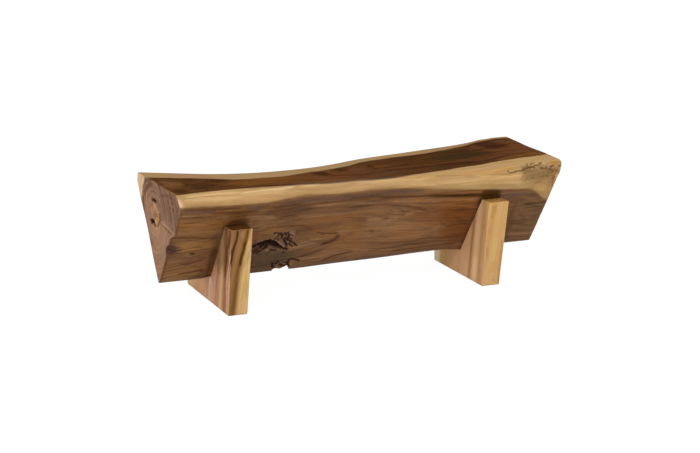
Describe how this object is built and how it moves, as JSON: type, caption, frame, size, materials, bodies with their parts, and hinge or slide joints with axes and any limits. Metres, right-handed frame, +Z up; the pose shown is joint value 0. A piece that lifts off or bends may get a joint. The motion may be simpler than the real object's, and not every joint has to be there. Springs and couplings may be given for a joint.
{
  "type": "rustic log bench",
  "caption": "Low bench with a flat-topped, V-sawn natural log seat with live edges, cradled in the notches of slab legs and screwed to them from below.",
  "frame": {"origin": "on the floor, at the middle of the bench's length and depth", "axes": "+Z up, +X along the log towards its wider end, +Y from the front, whose sawn face has the natural hollow, to the back"},
  "size_m": [1.515, 0.5358, 0.457],
  "materials": {
    "log_wood": "satin oil, dark heartwood with golden sapwood edges",
    "leg_wood": "satin oil, golden tan with brown stripes",
    "zinc_steel": "zinc plated",
    "glide_plastic": "matte moulded"
  },
  "bodies": {
    "root": {"log_seat": "log_wood", "left_cradle_leg": "leg_wood", "right_cradle_leg": "leg_wood", "left_leg_lag_screws": "zinc_steel", "right_leg_lag_screws": "zinc_steel", "left_leg_washers": "zinc_steel", "right_leg_washers": "zinc_steel", "left_leg_floor_glides": "glide_plastic", "right_leg_floor_glides": "glide_plastic", "left_leg_glide_nails": "zinc_steel", "right_leg_glide_nails": "zinc_steel"}
  },
  "joints": []
}
